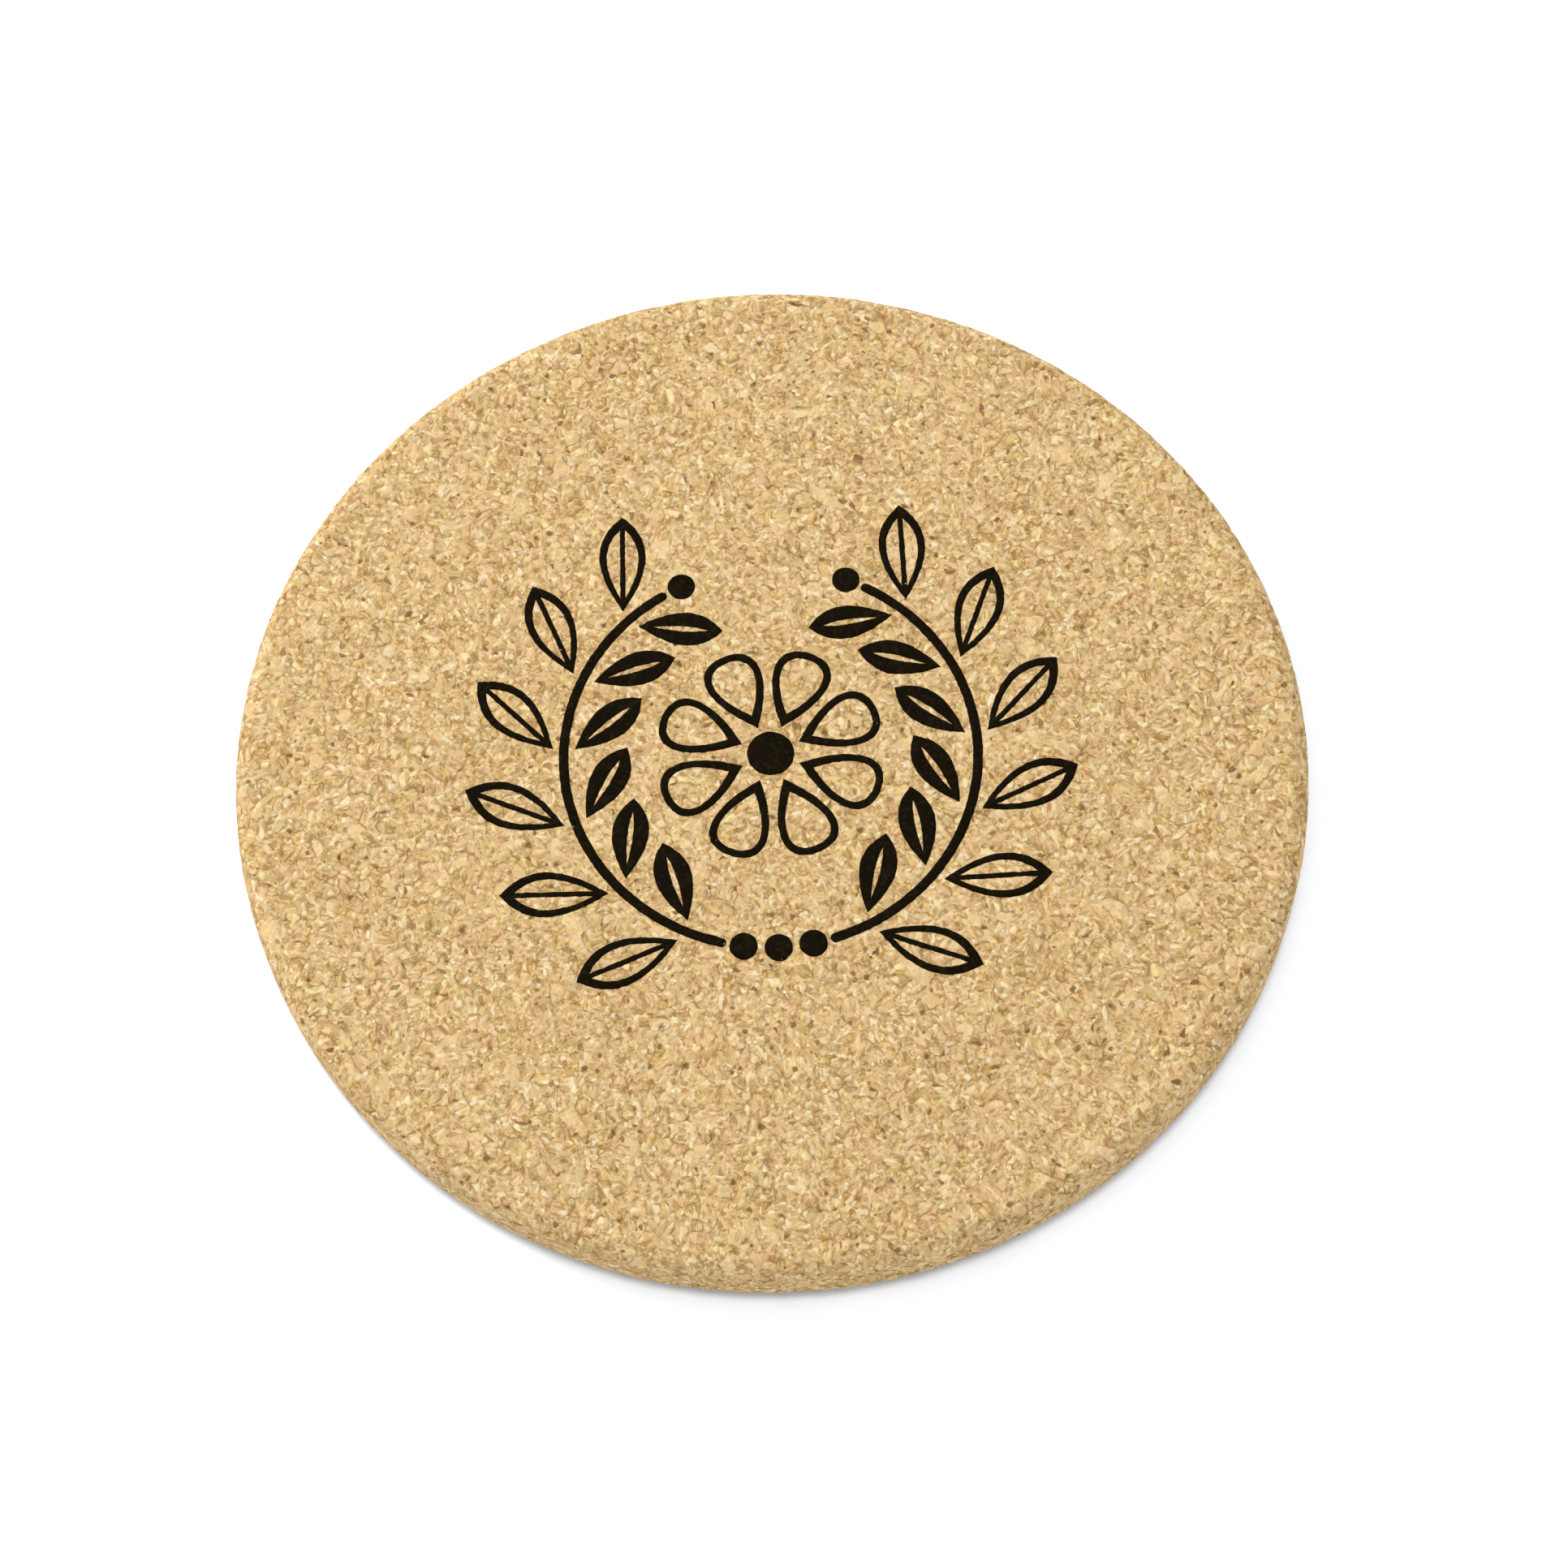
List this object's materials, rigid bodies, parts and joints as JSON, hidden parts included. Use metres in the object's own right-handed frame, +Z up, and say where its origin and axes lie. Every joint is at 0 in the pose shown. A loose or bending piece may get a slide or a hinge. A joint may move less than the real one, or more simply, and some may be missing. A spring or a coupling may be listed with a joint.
{
  "type": "cork coaster",
  "caption": "Round pressed-cork coaster with rounded rims and a matt black printed wreath on its top face.",
  "frame": {"origin": "centre of the underside, on the table", "axes": "+Z up, out of the printed face; +Y towards the open end of the wreath; +X to its right"},
  "size_m": [0.1, 0.1, 0.0071],
  "materials": {
    "cork": "pressed cork granules, sanded and unsealed, matt",
    "ink": "matt brown-black print"
  },
  "bodies": {
    "root": {"cork_disc": "cork", "ink_blossom_heart": "ink", "ink_inner_leaf_left_1": "ink", "ink_inner_leaf_left_2": "ink", "ink_inner_leaf_left_3": "ink", "ink_inner_leaf_left_4": "ink", "ink_inner_leaf_left_5": "ink", "ink_inner_leaf_left_6": "ink", "ink_inner_leaf_right_1": "ink", "ink_inner_leaf_right_2": "ink", "ink_inner_leaf_right_3": "ink", "ink_inner_leaf_right_4": "ink", "ink_inner_leaf_right_5": "ink", "ink_inner_leaf_right_6": "ink", "ink_knot_berry_1": "ink", "ink_knot_berry_2": "ink", "ink_knot_berry_3": "ink", "ink_outer_leaf_left_1": "ink", "ink_outer_leaf_left_2": "ink", "ink_outer_leaf_left_3": "ink", "ink_outer_leaf_left_4": "ink", "ink_outer_leaf_left_5": "ink", "ink_outer_leaf_left_6": "ink", "ink_outer_leaf_right_1": "ink", "ink_outer_leaf_right_2": "ink", "ink_outer_leaf_right_3": "ink", "ink_outer_leaf_right_4": "ink", "ink_outer_leaf_right_5": "ink", "ink_outer_leaf_right_6": "ink", "ink_petal_1": "ink", "ink_petal_2": "ink", "ink_petal_3": "ink", "ink_petal_4": "ink", "ink_petal_5": "ink", "ink_petal_6": "ink", "ink_petal_7": "ink", "ink_petal_8": "ink", "ink_stem_left": "ink", "ink_stem_right": "ink", "ink_tip_berry_left": "ink", "ink_tip_berry_right": "ink"}
  },
  "joints": []
}
